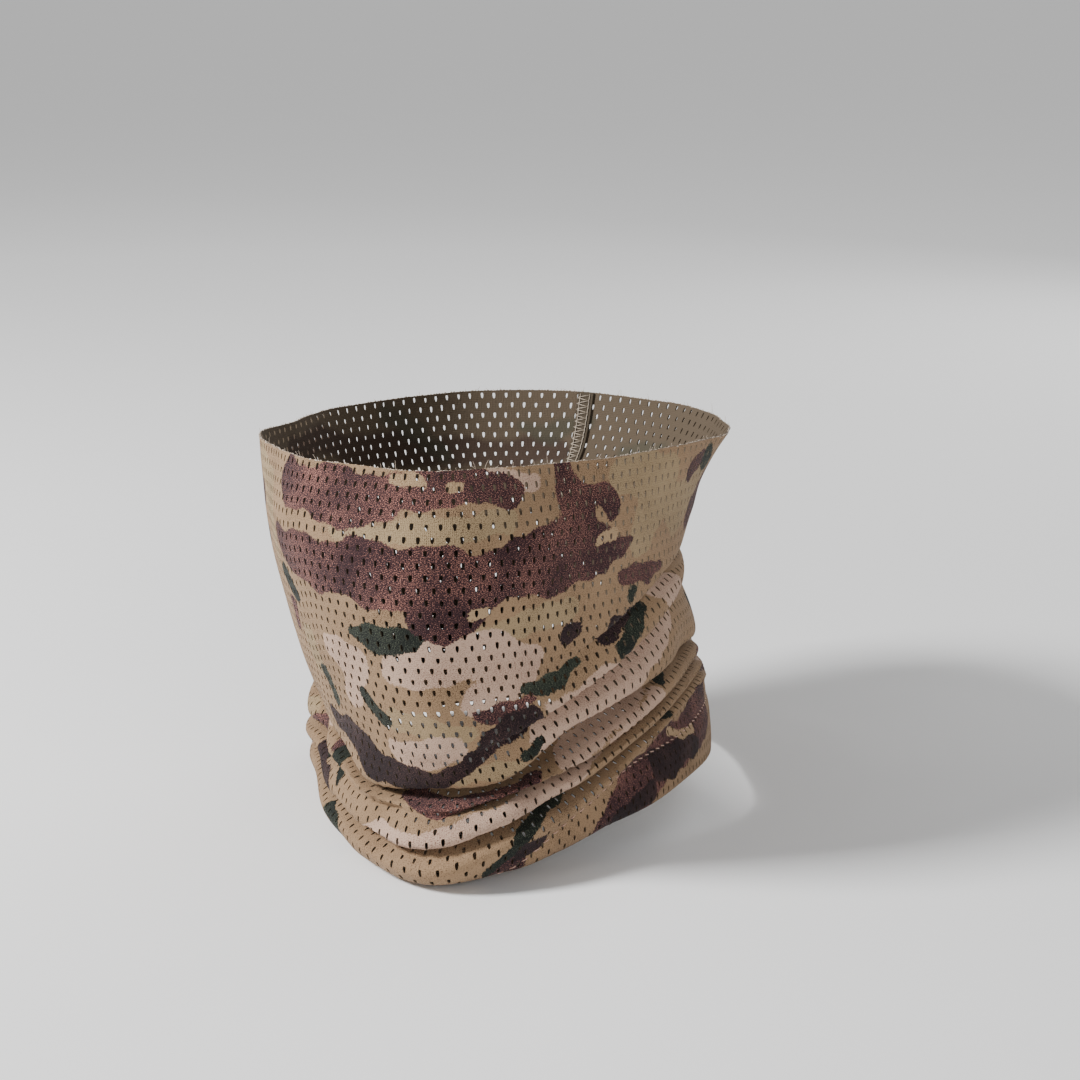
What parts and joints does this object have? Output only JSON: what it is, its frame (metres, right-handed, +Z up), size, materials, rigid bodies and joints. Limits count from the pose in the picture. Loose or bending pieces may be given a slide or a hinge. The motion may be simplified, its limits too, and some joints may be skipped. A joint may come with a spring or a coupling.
{
  "type": "face mask",
  "caption": "Tube-shaped perforated knit face mask in blotch camouflage, worn over the nose and bunched in soft folds round the neck above a stitched hem.",
  "frame": {"origin": "on the axis of the head and neck, at the level of the lowest point of the hem", "axes": "+Z up towards the head opening, -Y out of the face along the nose, +X to the wearer's left"},
  "size_m": [0.1654, 0.2062, 0.1397],
  "materials": {
    "printed_mesh": "matte printed knit",
    "mesh_reverse": "matte unprinted knit",
    "hem_thread": "spun polyester thread",
    "seam_thread": "spun polyester thread"
  },
  "bodies": {
    "root": {"face_panel": "printed_mesh", "neck_fold_upper": "printed_mesh", "neck_fold_middle": "printed_mesh", "neck_fold_lower": "printed_mesh", "hem_band": "printed_mesh", "hem_turnup": "mesh_reverse", "hem_stitching": "hem_thread", "back_seam_allowance": "mesh_reverse", "back_seam_overlock": "seam_thread"}
  },
  "joints": []
}
